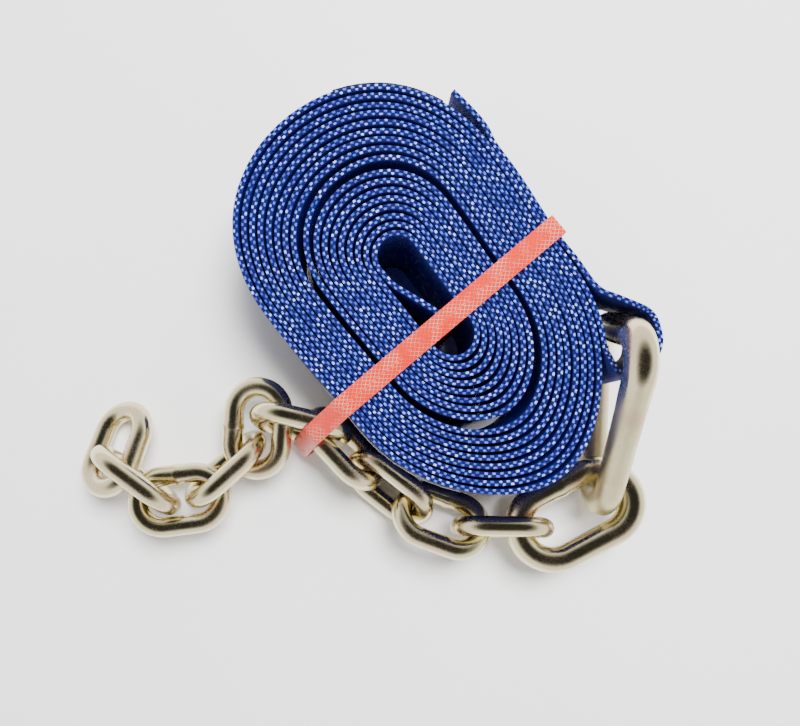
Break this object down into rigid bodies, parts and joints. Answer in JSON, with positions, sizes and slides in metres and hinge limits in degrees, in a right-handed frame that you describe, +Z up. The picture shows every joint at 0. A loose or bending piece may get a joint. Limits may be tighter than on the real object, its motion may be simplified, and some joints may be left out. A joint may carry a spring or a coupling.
{
  "type": "rolled tie-down strap with chain tail",
  "caption": "Flat webbing tie-down strap rolled on its edge and banded, with a sewn eye, a triangular delta link, a master link and a short welded chain tail.",
  "frame": {"origin": "centre of the bounding box, on the plane the roll, chain and delta link rest on", "axes": "+Z up along the webbing's width; +X towards the delta link, along the run of the chain; +Y away from the chain"},
  "size_m": [0.2822, 0.2259, 0.0727],
  "materials": {
    "webbing": "woven royal-blue polyester webbing with pale flecks",
    "thread": "pale polyester sewing thread",
    "label": "plain woven label strip",
    "clear_film": "clear plastic sleeve",
    "strapping": "embossed orange-red plastic strapping",
    "yellow_zinc": "yellow-passivated zinc plating on welded steel"
  },
  "bodies": {
    "strap": {"strap_roll": "webbing", "strap_eye": "webbing", "lap_stitching": "thread", "rating_tag": "label", "clear_tag": "clear_film", "retaining_band": "strapping", "band_seal": "strapping", "chain_link_07": "yellow_zinc"},
    "delta": {"delta_link": "yellow_zinc"},
    "master": {"master_link": "yellow_zinc"},
    "link_01": {"chain_link_01": "yellow_zinc"},
    "link_02": {"chain_link_02": "yellow_zinc"},
    "link_03": {"chain_link_03": "yellow_zinc"},
    "link_04": {"chain_link_04": "yellow_zinc"},
    "link_05": {"chain_link_05": "yellow_zinc"},
    "link_06": {"chain_link_06": "yellow_zinc"},
    "link_08": {"chain_link_08": "yellow_zinc"},
    "link_09": {"chain_link_09": "yellow_zinc"},
    "link_10": {"chain_link_10": "yellow_zinc"}
  },
  "joints": [
    {"name": "delta_swing", "type": "hinge", "parent": "strap", "child": "delta", "pos_m": [0.12209, 0.00406, 0.04058], "axis": [-0.0767, -0.2752, 0.9583], "range_deg": [-0.6, 0.2]},
    {"name": "master_swing", "type": "hinge", "parent": "delta", "child": "master", "pos_m": [0.12089, -0.07712, 0.01717], "axis": [-0.0767, -0.2752, 0.9583], "range_deg": [-1.5, 0.4]},
    {"name": "link_08_swing", "type": "hinge", "parent": "strap", "child": "link_08", "pos_m": [0.00765, -0.06628, 0.017], "axis": [0.3767, 0.3513, -0.8572], "range_deg": [-0.8, 0.3]},
    {"name": "link_09_swing", "type": "hinge", "parent": "link_08", "child": "link_09", "pos_m": [0.03184, -0.08437, 0.01672], "axis": [0.3486, 0.4914, 0.7981], "range_deg": [-0.4, 0.25]},
    {"name": "link_10_swing", "type": "hinge", "parent": "link_09", "child": "link_10", "pos_m": [0.06149, -0.09419, 0.01922], "axis": [0.315, 0.8161, -0.4845], "range_deg": [-2, 0.5]},
    {"name": "link_06_swing", "type": "hinge", "parent": "strap", "child": "link_06", "pos_m": [-0.02065, -0.03592, 0.017], "axis": [0.3767, 0.3513, -0.8572], "range_deg": [-1, 1.5]},
    {"name": "link_05_swing", "type": "hinge", "parent": "link_06", "child": "link_05", "pos_m": [-0.04821, -0.03544, 0.02422], "axis": [0.0947, 0.261, 0.9607], "range_deg": [-45, 5]},
    {"name": "link_04_swing", "type": "hinge", "parent": "link_05", "child": "link_04", "pos_m": [-0.0518, -0.06216, 0.01783], "axis": [-0.9795, 0.1039, -0.1727], "range_deg": [-3, 35]},
    {"name": "link_03_swing", "type": "hinge", "parent": "link_04", "child": "link_03", "pos_m": [-0.08192, -0.07548, 0.017], "axis": [-0.2398, 0.2663, -0.9336], "range_deg": [-15, 15]},
    {"name": "link_02_swing", "type": "hinge", "parent": "link_03", "child": "link_02", "pos_m": [-0.10957, -0.07963, 0.01959], "axis": [-0.1259, 0.9882, -0.087], "range_deg": [-15, 12]},
    {"name": "link_01_swing", "type": "hinge", "parent": "link_02", "child": "link_01", "pos_m": [-0.12631, -0.05436, 0.02145], "axis": [0.1401, 0.0671, 0.9879], "range_deg": [-30, 5]}
  ]
}
